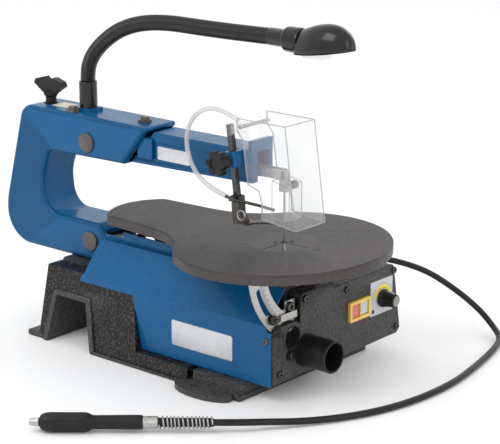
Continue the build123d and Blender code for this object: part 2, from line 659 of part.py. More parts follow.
# ---------- dust port ----------
with BuildPart() as dust_port:
    with BuildSketch(front_plane(PORT_X, PORT_Z)):
        Circle(21.5)
        with Locations((-PORT_WING, 1.5), (PORT_WING, -1.5)):
            Circle(6.5)
        Rectangle(2 * PORT_WING, 11, rotation=-2.7)
        Circle(18, mode=Mode.SUBTRACT)
    extrude(amount=3)
    with BuildSketch(front_plane(PORT_X, PORT_Z)):
        Circle(20.6)
        Circle(18, mode=Mode.SUBTRACT)
    extrude(amount=45)
    with BuildSketch(front_plane(PORT_X, PORT_Z)):
        with Locations((-PORT_WING, 1.5), (PORT_WING, -1.5)):
            Circle(2.0)
    extrude(amount=3, mode=Mode.SUBTRACT)
save(dust_port, "dust_port")

# ---------- motor, crank and connecting rod ----------
CAN_R = 37.0
with BuildPart() as motor_housing:
    add(rod_x(88, 150, MOTOR_Y, MOTOR_Z, CAN_R))
    add(block(96, 146, MOTOR_Y - 26, MOTOR_Y + 26, 8, 90))
    add(rod_x(91, 151, MOTOR_Y, MOTOR_Z, CAN_R - 3), mode=Mode.SUBTRACT)
    add(block(101, 141, MOTOR_Y - 22, MOTOR_Y + 22, 12, 62), mode=Mode.SUBTRACT)
    add(rod_x(76.9, 92, MOTOR_Y, MOTOR_Z, SHAFT_HOLE_R - 1))
    add(rod_x(70, 92, MOTOR_Y, MOTOR_Z, 5.0 + RUN_GAP), mode=Mode.SUBTRACT)
save(motor_housing, "motor_housing")

with BuildPart() as stator:
    add(rod_x(96, 140, MOTOR_Y, MOTOR_Z, CAN_R - 3))
    add(rod_x(95, 141, MOTOR_Y, MOTOR_Z, 21), mode=Mode.SUBTRACT)
save(stator, "motor_stator")

with BuildPart() as rotor:
    add(rod_x(22, 164, MOTOR_Y, MOTOR_Z, 5.0))
    add(rod_x(98, 138, MOTOR_Y, MOTOR_Z, 20))
save(rotor, "motor_rotor")

with BuildPart() as motor_end:
    add(rod_x(150, 155, MOTOR_Y, MOTOR_Z, CAN_R))
    add(rod_x(155, 168, MOTOR_Y, MOTOR_Z, 13))
    add(rod_x(149, 166, MOTOR_Y, MOTOR_Z, 5.0 + RUN_GAP), mode=Mode.SUBTRACT)
    fillet(motor_end.faces().sort_by(Axis.X)[-1].edges(), 1)
save(motor_end, "motor_end_cap")

with BuildPart() as eccentric:
    add(rod_x(22, 32, MOTOR_Y, MOTOR_Z, 13))
    add(rod_x(12, 22, MOTOR_Y + CRANK_THROW, MOTOR_Z, 4))
    add(rod_x(21, 33, MOTOR_Y, MOTOR_Z, 5.0), mode=Mode.SUBTRACT)
save(eccentric, "eccentric")

with BuildPart() as conrod:
    with BuildSketch(AXIS_X.offset(20.6)):
        with Locations((MOTOR_Y + CRANK_THROW, MOTOR_Z)):
            Circle(7.5)
        with Locations((MOTOR_Y + CRANK_THROW, LOWER_HOLDER_Z)):
            Circle(7.0)
        with Locations((MOTOR_Y + CRANK_THROW, (MOTOR_Z + LOWER_HOLDER_Z) / 2)):
            Rectangle(8, LOWER_HOLDER_Z - MOTOR_Z)
        with Locations((MOTOR_Y + CRANK_THROW, MOTOR_Z)):
            Circle(4.0 + RUN_GAP, mode=Mode.SUBTRACT)
        with Locations((MOTOR_Y + CRANK_THROW, LOWER_HOLDER_Z)):
            Circle(4.0, mode=Mode.SUBTRACT)
    extrude(amount=-8)
save(conrod, "connecting_rod")

with BuildPart() as bellows:
    for index in range(4):
        with BuildSketch(Plane((0, 165, 66 + index * 9))):
            Circle(24)
        with BuildSketch(Plane((0, 165, 70.5 + index * 9))):
            Circle(19)
        loft()
        with BuildSketch(Plane((0, 165, 70.5 + index * 9))):
            Circle(19)
        with BuildSketch(Plane((0, 165, 75 + index * 9))):
            Circle(24)
        loft()
    add(block(-14, 14, 151, 179, 102, 106))
    add(block(-68, 68, 153, 177, 60, 66))
save(bellows, "air_bellows")

# ---------- hold-down ----------
bar_plane = Plane((BAR_X, BAR_Y, BAR_Z), x_dir=(1, 0, 0), z_dir=(0, 0, 1)).rotated((-BAR_LEAN, 0, 0))


def along_bar(distance):
    """The point of the bar's axis at a distance above the boss."""
    lean = math.radians(BAR_LEAN)
    return (BAR_X, BAR_Y + distance * math.sin(lean), BAR_Z + distance * math.cos(lean))


with BuildPart() as hold_bar:
    with BuildSketch(bar_plane.offset(-62)):
        Rectangle(BAR_SIDE, BAR_SIDE)
    extrude(amount=62 + 44)
    chamfer(hold_bar.edges().filter_by(Axis((0, 0, 0), bar_plane.z_dir)), 0.6)
save(hold_bar, "hold_down_bar")

foot_top = along_bar(-62)
with BuildPart() as hold_foot:
    with BuildSketch(AXIS_X.offset(BAR_X - 6)):
        with BuildLine():
            Polyline((foot_top[1] - 5, foot_top[2] + 16), (foot_top[1] - 7, foot_top[2] - 6),
                     (foot_top[1] - 13, 212.5), (foot_top[1] - 12, 209), (foot_top[1] + 4, 209),
                     (foot_top[1] + 6, foot_top[2] - 6), (foot_top[1] + 7, foot_top[2] + 16),
                     (foot_top[1] - 5, foot_top[2] + 16))
        make_face()
    extrude(amount=12)
    with BuildSketch(bar_plane.offset(-62)):
        Rectangle(BAR_SIDE, BAR_SIDE)
    extrude(amount=40, mode=Mode.SUBTRACT)
    # two flat fingers that press beside the blade
    with BuildSketch(Plane.XY.offset(209)):
        with BuildLine():
            Polyline((BAR_X - 6, 44), (BAR_X + 6, 44), (-16, 30), (-8, 12), (-8, 4), (-15, 4), (-18, 14),
                     (-28, 24), (BAR_X - 6, 28), (BAR_X - 6, 44))
        make_face()
    extrude(amount=2.4)
    fillet(hold_foot.edges().filter_by(Axis.Z), 1.0)
save(hold_foot, "hold_down_foot")

with BuildPart() as hold_knob:
    add(rod_x(-64, -39.2, BAR_Y, BAR_Z, 3.0))
    add(rod_x(-60, -47, BAR_Y, BAR_Z, 7.0))
    star = Plane((-60, BAR_Y, BAR_Z), x_dir=(0, -1, 0), z_dir=(-1, 0, 0))
    with BuildSketch(star):
        Circle(12.5)
        with PolarLocations(11.5, 6):
            Circle(5)
    extrude(amount=11)
    fillet(hold_knob.faces().sort_by(Axis.X)[0].edges(), 1.6)
    with BuildSketch(star.offset(11)):
        Circle(7.5)
    extrude(amount=-1.2, mode=Mode.SUBTRACT)
save(hold_knob, "hold_down_knob")

clamp_spot = along_bar(38)
with BuildPart() as hose_clamp:
    with BuildSketch(bar_plane.offset(31)):
        with Locations((-2, 0)):
            RectangleRounded(12.6, 17, 3)
        Rectangle(BAR_SIDE, BAR_SIDE, mode=Mode.SUBTRACT)
    extrude(amount=15)
    # elbow that the air hose pushes onto
    add(block(-43, -39.5, clamp_spot[1] - 20, clamp_spot[1], 330, 340))
    add(rod_y(clamp_spot[1] - 24, clamp_spot[1] - 14, -42, 338, 4.6))
    add(screw_at(left_plane(clamp_spot[1], 328, -42), 4.6, 2.6, 2, 3))
save(hose_clamp, "hose_clamp")

# ---------- air hose: a loop on the left of the arm ----------
HOSE_X = -47.0
HOSE_ROUTE = [(HOSE_X, 36, 344), (HOSE_X, 56, 352), (HOSE_X, 84, 354), (HOSE_X, 110, 340),
              (HOSE_X, 123, 314), (HOSE_X, 120, 286), (HOSE_X, 104, 262), (HOSE_X, 78, 249),
              (HOSE_X, 56, 244)]


def bend_radii(route):
    """The largest sensible arc at each corner of a route."""
    radii = []
    for before, here, after in zip(route, route[1:], route[2:]):
        run_in, run_out = Vector(*here) - Vector(*before), Vector(*after) - Vector(*here)
        half_turn = math.radians(run_in.get_angle(run_out)) / 2
        radii.append(0.45 * min(run_in.length, run_out.length) / math.tan(half_turn))
    return radii


def tube(route, radius, name):
    """A round tube along a route of straight runs and tangent arcs."""
    with BuildPart() as piece:
        with BuildLine():
            path = FilletPolyline(*route, radius=bend_radii(route))
        with BuildSketch(Plane(origin=path @ 0, z_dir=path % 0)):
            Circle(radius)
        sweep(path=path)
    expected = math.pi * radius ** 2 * path.length
    print(name, "length", round(path.length, 1), "volume", round(piece.part.volume / expected, 4),
          "radii", [round(r, 1) for r in bend_radii(route)])
    save(piece, name)


tube(HOSE_ROUTE, HOSE_R, "air_hose")

with BuildPart() as air_nozzle:
    with BuildLine():
        nozzle_path = FilletPolyline((HOSE_X, 56, 244), (HOSE_X, 42.8, 241), (-37, 29, 238), (-24, 19, 233),
                                     (-9, 9, 226), radius=[4, 6, 8])
    with BuildSketch(Plane(origin=nozzle_path @ 0, z_dir=nozzle_path % 0)):
        Circle(2.0)
    sweep(path=nozzle_path)
    add(block(-49, -41, 43, 50, 239, 245))
save(air_nozzle, "air_nozzle")

# ---------- blade guard ----------
GUARD_T = 2.0
GUARD_HALF = 29.8
GUARD_SIDE = [(-25, 342), (54, 342), (54, 324), (44, 314), (36, 258), (18, 252), (13, 234), (13, 217), (-43, 211)]
with BuildPart() as guard:
    with BuildSketch(AXIS_X):
        Polygon(*GUARD_SIDE, align=None)
    extrude(amount=GUARD_HALF, both=True)
    with BuildSketch(AXIS_X):
        Polygon((-25 + 2.1, 340), (80, 340), (80, 200), (-43, 200), (-41.0, 211), align=None)
    extrude(amount=GUARD_HALF - GUARD_T, both=True, mode=Mode.SUBTRACT)
    add(rod_x(-32, 32, 50, 330, 2.5 + RUN_GAP), mode=Mode.SUBTRACT)
save(guard, "blade_guard")

# ---------- lamp ----------
STEM_TOP = 346.0
LAMP_Z = 443.5
SLEEVE_Y, COLLAR_Y, SHADE_Y = 24.0, -2.0, -28.0
with BuildPart() as lamp_stem:
    with Locations((0, LAMP_Y, (BOSS_TOP + STEM_TOP) / 2)):
        Cylinder(12.3, STEM_TOP - BOSS_TOP)
    fillet(lamp_stem.faces().sort_by(Axis.Z)[-1].edges(), 1.5)
save(lamp_stem, "lamp_stem")

NECK_ROUTE = [(0, 346, 346.4), (0, 346, 358), (0, 341.5, 373), (0, 330, 389), (0, 309, 407), (0, 280, 424.5),
              (0, 241, 436.5), (0, 196, 441.6), (0, 140, 441.4), (0, 80, 442), (0, SLEEVE_Y, LAMP_Z)]
with BuildPart() as lamp_neck:
    with BuildLine():
        neck_path = FilletPolyline(*NECK_ROUTE, radius=bend_radii(NECK_ROUTE))
    with BuildSketch(Plane(origin=neck_path @ 0, z_dir=neck_path % 0)):
        Circle(NECK_R)
    sweep(path=neck_path)
save(lamp_neck, "lamp_neck")

with BuildPart() as lamp_shade:
    add(rod_y(COLLAR_Y, SLEEVE_Y - 0.3, 0, LAMP_Z, 11.5))
    add(rod_y(SHADE_Y, COLLAR_Y, 0, LAMP_Z, 16))
    with BuildSketch(AXIS_X):
        with BuildLine():
            Polyline((-106, 440), (-103, 450), (-95, 460), (-82, 466), (-60, 468), (-38, 464), (-27, 456),
                     (-27, 428), (-48, 430), (-106, 440))
        make_face()
    extrude(amount=23, both=True)
    with BuildSketch(AXIS_X):
        Polygon((-101, 420), (-101, 443), (-93, 454), (-80, 461), (-33, 454), (-33, 420), align=None)
    extrude(amount=20, both=True, mode=Mode.SUBTRACT)
save(lamp_shade, "lamp_shade")

with BuildPart() as bulb:
    add(rod_y(-50, -33, 0, 440, 8))
    with Locations((0, -52, 439)):
        Sphere(13)
save(bulb, "lamp_bulb")

# ---------- switch and speed control ----------
with BuildPart() as switch_frame:
    with BuildSketch(front_plane(*SWITCH)):
        RectangleRounded(44, 27, 2)
        with Locations((-9.3, 0), (9.3, 0)):
            Rectangle(17.4, 18.6, mode=Mode.SUBTRACT)
    extrude(amount=4.5)
    with BuildSketch(front_plane(*SWITCH)):
        Rectangle(38, 21)
        with Locations((-9.3, 0), (9.3, 0)):
            Rectangle(17.4, 18.6, mode=Mode.SUBTRACT)
    extrude(amount=-14)
    add(block(SWITCH[0] - 19, SWITCH[0] + 19, PANEL_Y + 14, PANEL_Y + 17, SWITCH[1] - 10.5, SWITCH[1] + 10.5))
save(switch_frame, "switch_frame")

for x, name in ((SWITCH[0] - 9.3, "stop_button"), (SWITCH[0] + 9.3, "start_button")):
    with BuildPart() as button:
        with BuildSketch(front_plane(x, SWITCH[1], PANEL_Y + 8)):
            RectangleRounded(16.6, 17.8, 1.5)
        extrude(amount=8 + 2.5)
        fillet(button.faces().sort_by(Axis.Y)[0].edges(), 1.2)
    save(button, name)

with BuildPart() as speed_knob:
    with BuildSketch(front_plane(*DIAL, PANEL_Y - 1.5)):
        Circle(12)
    extrude(amount=4)
    with BuildSketch(front_plane(*DIAL, PANEL_Y - 5.5)):
        Circle(10.8)
    with BuildSketch(front_plane(*DIAL, PANEL_Y - 24)):
        Circle(8.2)
    loft()
    fillet(speed_knob.faces().sort_by(Axis.Y)[0].edges(), 1.2)
    add(rod_y(PANEL_Y - 1.6, PANEL_Y + 12, *DIAL, 3.0))
save(speed_knob, "speed_knob")

# ---------- flexible shaft and handpiece ----------
with BuildPart() as union:
    add(rod_x(168, 176, MOTOR_Y, MOTOR_Z, 11))
    add(rod_x(176, 188, MOTOR_Y, MOTOR_Z, 8))
save(union, "shaft_union")

GRIP_Z = 12.1
SHAFT_ROUTE = [(188, 48, 104), (213, 48, 104), (248, 27, 101), (284, -17, 85), (308, -55, 57),
               (319, -88, 32), (316, -113, 14), (300, -136, 6), (262, -150, 4.3), (195, -167, 4.3),
               (125, -180, 4.3), (60, -180, 4.3), (-2, -170, 4.3), (-58, -148, 4.5), (-108, -118, 6),
               (-143, -92, 9.5), (-170.7, -73, GRIP_Z), (-190, -50, GRIP_Z)]
tube(SHAFT_ROUTE, CORD_R, "flex_shaft")

COLLET_R, COLLET_DEPTH = 1.6, 12.0
GRIP_START, GRIP_END = Vector(-190, -50, GRIP_Z), Vector(-332, 119, GRIP_Z)
grip_dir = (GRIP_END - GRIP_START).normalized()
grip_length = (GRIP_END - GRIP_START).length


def turned(profile, name):
    """A turned piece on the handpiece's axis; the profile lists distance and radius pairs."""
    plane = Plane(origin=GRIP_START, x_dir=grip_dir, z_dir=Vector(0, 0, 1).cross(grip_dir))
    with BuildPart() as piece:
        with BuildSketch(plane):
            with BuildLine():
                Polyline(*([(profile[0][0], 0)] + profile + [(profile[-1][0], 0), (profile[0][0], 0)]))
            make_face()
        revolve(axis=Axis(GRIP_START, grip_dir))
    save(piece, name)


turned([(0, 7.2), (4, 8.0), (67, 8.0)], "spring_relief")
turned([(67, 7.4), (85, 7.4), (86, 8.6), (90, 8.9), (145, 8.4), (150, 11.0), (154, 11.8), (197, 11.8),
        (204, 10.6), (208, 7.5)], "handpiece_grip")
bore_start = grip_length - COLLET_DEPTH
turned([(208.2, 5.8), (214.5, 5.8), (216, 4.6), (grip_length, 4.0), (grip_length, COLLET_R),
        (bore_start, COLLET_R)], "collet_nut")
print("grip length", round(grip_length, 1))
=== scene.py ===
"""The looks of the scroll saw: camera, lights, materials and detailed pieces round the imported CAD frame."""

import json
import math

import bmesh
import bpy
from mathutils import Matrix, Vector


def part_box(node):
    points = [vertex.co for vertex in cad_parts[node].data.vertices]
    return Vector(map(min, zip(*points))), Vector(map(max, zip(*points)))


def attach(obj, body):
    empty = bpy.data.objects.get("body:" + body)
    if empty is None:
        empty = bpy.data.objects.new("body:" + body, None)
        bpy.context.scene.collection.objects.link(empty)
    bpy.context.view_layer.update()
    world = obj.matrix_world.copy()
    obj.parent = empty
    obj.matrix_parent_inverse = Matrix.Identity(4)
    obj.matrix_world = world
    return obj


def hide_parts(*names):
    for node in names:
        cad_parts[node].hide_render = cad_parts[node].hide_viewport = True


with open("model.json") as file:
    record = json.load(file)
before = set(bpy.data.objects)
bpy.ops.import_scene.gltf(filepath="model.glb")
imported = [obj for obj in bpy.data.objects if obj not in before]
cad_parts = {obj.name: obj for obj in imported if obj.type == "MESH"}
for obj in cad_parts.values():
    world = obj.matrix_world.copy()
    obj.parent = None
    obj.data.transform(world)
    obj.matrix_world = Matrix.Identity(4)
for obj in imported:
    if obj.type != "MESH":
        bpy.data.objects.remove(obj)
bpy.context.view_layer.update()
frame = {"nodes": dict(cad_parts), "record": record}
nodes = frame["nodes"]

MM = 0.001
X_AXIS, Y_AXIS, Z_AXIS = Vector((1, 0, 0)), Vector((0, 1, 0)), Vector((0, 0, 1))


def mm(*values):
    """A point given in millimetres, in metres."""
    return Vector(values) * MM


# ---------- camera ----------
CAMERA_AZIMUTH, CAMERA_ELEVATION = math.radians(-49.38), math.radians(15.87)
CAMERA_PLACE = (-1.68618, -1.38956, 0.83151)
CAMERA_LENS, CAMERA_SENSOR = 130.13, 36


def make_camera():
    """The camera that was fitted to the photo; it looks slightly down, from the front left."""
    level = math.cos(CAMERA_ELEVATION)
    back = Vector((math.sin(CAMERA_AZIMUTH) * level, -math.cos(CAMERA_AZIMUTH) * level,
                   math.sin(CAMERA_ELEVATION)))
    data = bpy.data.cameras.new("camera")
    data.lens = CAMERA_LENS
    data.sensor_width = CAMERA_SENSOR
    camera = bpy.data.objects.new("camera", data)
    camera.location = CAMERA_PLACE
    camera.rotation_mode = "QUATERNION"
    camera.rotation_quaternion = (-back).to_track_quat("-Z", "Y")
    bpy.context.scene.collection.objects.link(camera)
    bpy.context.scene.camera = camera


make_camera()


# ---------- building blocks ----------
def show(name, mesh, body, material, smooth=40):
    """Links a mesh as a piece that rides on a body; edges sharper than smooth degrees stay sharp."""
    mesh.materials.append(material)
    mesh.shade_smooth()
    mesh.set_sharp_from_angle(angle=math.radians(smooth))
    piece = bpy.data.objects.new(name, mesh)
    bpy.context.scene.collection.objects.link(piece)
    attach(piece, body)
    return piece


def ring_mesh(name, rings, closed=False):
    """A skin over rings of equal point counts, capped at both ends unless it closes on itself."""
    count = len(rings[0])
    points = [point for ring in rings for point in ring]
    faces = []
    pairs = len(rings) if closed else len(rings) - 1
    for index in range(pairs):
        low, high = index * count, (index + 1) % len(rings) * count
        for step in range(count):
            after = (step + 1) % count
            faces.append((low + step, low + after, high + after, high + step))
    if not closed:
        faces.append(tuple(reversed(range(count))))
        faces.append(tuple(range(len(points) - count, len(points))))
    mesh = bpy.data.meshes.new(name)
    mesh.from_pydata([tuple(point) for point in points], [], faces)
    mesh.validate()
    return mesh


def circle(centre, across, up, radius, count, wave=None):
    """A ring of points; wave(angle) scales the radius."""
    ring = []
    for step in range(count):
        angle = 2 * math.pi * step / count
        reach = radius * (wave(angle) if wave else 1)
        ring.append(centre + across * math.cos(angle) * reach + up * math.sin(angle) * reach)
    return ring


def lathe_mesh(name, origin, axis, profile, count=48, wave=None):
    """A turned shape; the profile lists distances along the axis and radii, both in millimetres."""
    axis = Vector(axis).normalized()
    across = axis.orthogonal().normalized()
    up = axis.cross(across)
    rings = [circle(origin + axis * (reach * MM), across, up, max(radius, 0.01) * MM, count,
                    (lambda angle, r=reach: wave(angle, r)) if wave else None) for reach, radius in profile]
    return ring_mesh(name, rings)


def swept_mesh(name, path, radius_at, count=24):
    """A tube along a path; radius_at(index) gives each ring's radius in metres."""
    rings = []
    across = None
    for index, point in enumerate(path):
        ahead = path[min(index + 1, len(path) - 1)]
        behind = path[max(index - 1, 0)]
        along = (ahead - behind).normalized()
        if across is None:
            across = along.orthogonal().normalized()
        across = (across - along * across.dot(along)).normalized()
        rings.append(circle(point, across, along.cross(across), radius_at(index), count))
    return ring_mesh(name, rings)


def even_path(path, step):
    """The same path with points a fixed step apart."""
    result = [path[0].copy()]
    left = step
    for start, end in zip(path, path[1:]):
        run = (end - start).length
        done = 0.0
        while run - done >= left:
            done += left
            result.append(start.lerp(end, done / run))
            left = step
        left -= run - done
    return result


def plate_mesh(name, outline, origin, across, up, thickness, bevel=0.0):
    """A flat plate: a 2-D outline in millimetres, extruded along across x up, with bevelled edges."""
    across, up = Vector(across), Vector(up)
    normal = across.cross(up)
    work = bmesh.new()
    corners = [work.verts.new(origin + across * (u * MM) + up * (v * MM)) for u, v in outline]
    face = work.faces.new(corners)
    made = bmesh.ops.extrude_face_region(work, geom=[face])
    moved = [item for item in made["geom"] if isinstance(item, bmesh.types.BMVert)]
    bmesh.ops.translate(work, verts=moved, vec=normal * (thickness * MM))
    bmesh.ops.recalc_face_normals(work, faces=work.faces)
    if bevel:
        top = [edge for edge in work.edges if all(v in moved for v in edge.verts)]
        bmesh.ops.bevel(work, geom=top, offset=bevel * MM, segments=2, affect="EDGES", profile=0.5)
    mesh = bpy.data.meshes.new(name)
    work.to_mesh(mesh)
    work.free()
    return mesh


def box_mesh(name, low, high, bevel=0.4):
    """A block between two corners in millimetres, with rounded edges."""
    work = bmesh.new()
    bmesh.ops.create_cube(work, size=1)
    for vert in work.verts:
        vert.co = Vector([(a + b) / 2 + c * (b - a) for a, b, c in zip(low, high, vert.co)]) * MM
    bmesh.ops.bevel(work, geom=list(work.edges), offset=bevel * MM, segments=2, affect="EDGES", profile=0.5)
    mesh = bpy.data.meshes.new(name)
    work.to_mesh(mesh)
    work.free()
    return mesh


def rectangle(width, height):
    """The outline of a rectangle centred on 0."""
    across, up = width / 2, height / 2
    return [(-across, -up), (across, -up), (across, up), (-across, up)]


def rounded(width, height, radius, steps=5):
    """The outline of a rectangle with round corners, centred on 0, in millimetres."""
    points = []
    for cx, cy, start in ((1, 1, 0), (-1, 1, 90), (-1, -1, 180), (1, -1, 270)):
        for step in range(steps + 1):
            angle = math.radians(start + 90 * step / steps)
            points.append((cx * (width / 2 - radius) + radius * math.cos(angle),
                           cy * (height / 2 - radius) + radius * math.sin(angle)))
    return points


def sector(inner, outer, start, end, steps=24):
    """The outline of a band of a ring between two angles, in degrees, anticlockwise."""
    angles = [math.radians(start + (end - start) * step / steps) for step in range(steps + 1)]
    return ([(outer * math.cos(a), outer * math.sin(a)) for a in angles]
            + [(inner * math.cos(a), inner * math.sin(a)) for a in reversed(angles)])


def spoke(turn):
    """The way out from a centre and the way round it, in the plane that faces the front."""
    return Vector((math.cos(turn), 0, math.sin(turn))), Vector((-math.sin(turn), 0, math.cos(turn)))


def join_meshes(name, meshes):
    """Several meshes as one."""
    work = bmesh.new()
    for mesh in meshes:
        work.from_mesh(mesh)
        bpy.data.meshes.remove(mesh)
    joined = bpy.data.meshes.new(name)
    work.to_mesh(joined)
    work.free()
    return joined


# ---------- materials ----------
def new_material(name, color, roughness, metallic=0.0, **sockets):
    """A material with one principled shader; words such as coat_weight set its other sockets."""
    material = bpy.data.materials.new(name)
    material.use_nodes = True
    shader = material.node_tree.nodes["Principled BSDF"]
    shader.inputs["Base Color"].default_value = (*color, 1)
    shader.inputs["Roughness"].default_value = roughness
    shader.inputs["Metallic"].default_value = metallic
    for words, value in sockets.items():
        shader.inputs[words.replace("_", " ").title().replace("Ior", "IOR")].default_value = value
    return material


def node(material, kind, **values):
    """A new shader node; each value sets the input of that name, or else the node's own property."""
    made = material.node_tree.nodes.new(kind)
    for key, value in values.items():
        if key in made.inputs:
            made.inputs[key].default_value = value
        else:
            setattr(made, key, value)
    return made


def wire(material, start, end):
    """Links an output to an input."""
    material.node_tree.links.new(start, end)


def place(material, stretch=(1, 1, 1)):
    """Object coordinates in metres, stretched along the axes."""
    coordinates = node(material, "ShaderNodeTexCoord")
    mapping = node(material, "ShaderNodeMapping")
    mapping.inputs["Scale"].default_value = stretch
    wire(material, coordinates.outputs["Object"], mapping.inputs["Vector"])
    return mapping.outputs["Vector"]


def noise(material, scale, detail=4.0, stretch=(1, 1, 1)):
    """Fractal noise on object coordinates."""
    texture = node(material, "ShaderNodeTexNoise", Scale=scale, Detail=detail)
    wire(material, place(material, stretch), texture.inputs["Vector"])
    return texture.outputs["Fac"]


def mottle(material, fac, dark, light, low=0.35, high=0.65):
    """Colour that drifts between two tones."""
    ramp = node(material, "ShaderNodeValToRGB")
    ramp.color_ramp.elements[0].position = low
    ramp.color_ramp.elements[0].color = (*dark, 1)
    ramp.color_ramp.elements[1].position = high
    ramp.color_ramp.elements[1].color = (*light, 1)
    wire(material, fac, ramp.inputs["Fac"])
    wire(material, ramp.outputs["Color"], material.node_tree.nodes["Principled BSDF"].inputs["Base Color"])
    return ramp.outputs["Color"]


def vary_roughness(material, fac, low, high):
    """Roughness that drifts from low to high with fac."""
    spread = node(material, "ShaderNodeMapRange")
    spread.inputs["From Min"].default_value = 0.3
    spread.inputs["From Max"].default_value = 0.7
    spread.inputs["To Min"].default_value = low
    spread.inputs["To Max"].default_value = high
    wire(material, fac, spread.inputs["Value"])
    wire(material, spread.outputs["Result"], material.node_tree.nodes["Principled BSDF"].inputs["Roughness"])


def relief(material, layers, edge):
    """Bumps, each a height with a strength and a depth in millimetres, over edges rounded by edge mm."""
    normal = node(material, "ShaderNodeBevel", samples=4, Radius=edge * MM).outputs["Normal"]
    for height, strength, depth in layers:
        bump = node(material, "ShaderNodeBump", Strength=strength, Distance=depth * MM)
        wire(material, height, bump.inputs["Height"])
        wire(material, normal, bump.inputs["Normal"])
        normal = bump.outputs["Normal"]
    wire(material, normal, material.node_tree.nodes["Principled BSDF"].inputs["Normal"])


def wear(material, color, bare, amount=0.5):
    """Lets a second tone show along convex edges, broken up by noise."""
    edges = node(material, "ShaderNodeNewGeometry").outputs["Pointiness"]
    ramp = node(material, "ShaderNodeMapRange")
    ramp.inputs["From Min"].default_value = 0.515
    ramp.inputs["From Max"].default_value = 0.56
    ramp.inputs["To Max"].default_value = amount
    wire(material, edges, ramp.inputs["Value"])
    patchy = node(material, "ShaderNodeMath", operation="MULTIPLY")
    wire(material, ramp.outputs["Result"], patchy.inputs[0])
    wire(material, noise(material, 220, 5), patchy.inputs[1])
    mix = node(material, "ShaderNodeMix", data_type="RGBA")
    wire(material, patchy.outputs[0], mix.inputs[0])
    wire(material, color, mix.inputs[6])
    mix.inputs[7].default_value = (*bare, 1)
    wire(material, mix.outputs[2], material.node_tree.nodes["Principled BSDF"].inputs["Base Color"])


def cells(material, scale):
    """Rounded cells, as in hammered enamel."""
    texture = node(material, "ShaderNodeTexVoronoi", feature="SMOOTH_F1", Scale=scale)
    wire(material, place(material), texture.inputs["Vector"])
    return texture.outputs["Distance"]


def hammered(name, dark, light, roughness, depth):
    """Hammered enamel: small rounded cells, depth mm deep, under a finer grain; sparse spots of the light
    tone are painted glints.
    """
    material = new_material(name, dark, roughness, specular_ior_level=0.3)
    # sparse light spots where the noise is high: painted glints on the hammered cells
    color = mottle(material, noise(material, 360, 2), dark, light, 0.5, 0.72)
    wear(material, color, (0.16, 0.155, 0.15))
    vary_roughness(material, noise(material, 360, 2), roughness + 0.12, roughness - 0.12)
    relief(material, [(cells(material, 330), 0.9, depth), (noise(material, 900, 3), 0.35, 0.15)], 1.0)
    return material


def enamel(name, dark, light, roughness):
    """Gloss paint with faint orange peel."""
    material = new_material(name, dark, roughness, specular_ior_level=0.18, coat_weight=0.06,
                            coat_roughness=0.1)
    color = mottle(material, noise(material, 9, 2), dark, light)
    wear(material, color, tuple(c * 1.8 + 0.012 for c in light), 0.6)
    vary_roughness(material, noise(material, 30, 3), roughness - 0.05, roughness + 0.06)
    relief(material, [(noise(material, 520, 2), 0.12, 0.08)], 1.2)
    return material


def brushed(name, dark, light, roughness=0.3, stretch=(1, 1, 14)):
    """Bare metal with a grain that is finest along the most stretched axis."""
    material = new_material(name, dark, roughness, 1.0)
    grain = noise(material, 160, 5, stretch)
    mottle(material, grain, dark, light)
    vary_roughness(material, grain, roughness - 0.08, roughness + 0.12)
    relief(material, [(grain, 0.15, 0.05)], 0.35)
    return material


def moulded(name, dark, light, roughness, grain=700, strength=0.25, coat=0.0):
    """Moulded plastic or rubber with a fine grain."""
    material = new_material(name, dark, roughness, specular_ior_level=0.3, coat_weight=coat,
                            coat_roughness=0.15)
    mottle(material, noise(material, 60, 3), dark, light)
    vary_roughness(material, noise(material, 45, 3), roughness - 0.05, roughness + 0.08)
    relief(material, [(noise(material, grain, 2), strength, 0.08)], 0.6)
    return material


def ground_iron(name, dark, light):
    """Coated table iron: fine grinding lines and faint stains."""
    material = new_material(name, dark, 0.42, 0.1, specular_ior_level=0.28)
    lines = noise(material, 70, 6, (1, 14, 1))
    stains = noise(material, 14, 4)
    color = mottle(material, stains, dark, light, 0.3, 0.7)
    wear(material, color, (0.12, 0.112, 0.106), 0.5)
    vary_roughness(material, lines, 0.36, 0.52)
    relief(material, [(lines, 0.12, 0.06), (noise(material, 900, 2), 0.12, 0.04)], 1.0)
    return material


def clear(name, tint, opacity, roughness=0.06):
    """Clear plastic: mostly see-through, with gloss and a few scuffs."""
    material = new_material(name, tint, roughness, alpha=opacity, coat_weight=0.6, coat_roughness=0.05)
    vary_roughness(material, noise(material, 40, 4), roughness, roughness + 0.1)
    mottle(material, noise(material, 25, 3), tint, tuple(c * 0.94 for c in tint))
    relief(material, [(noise(material, 60, 2), 0.05, 0.1)], 0.4)
    return material


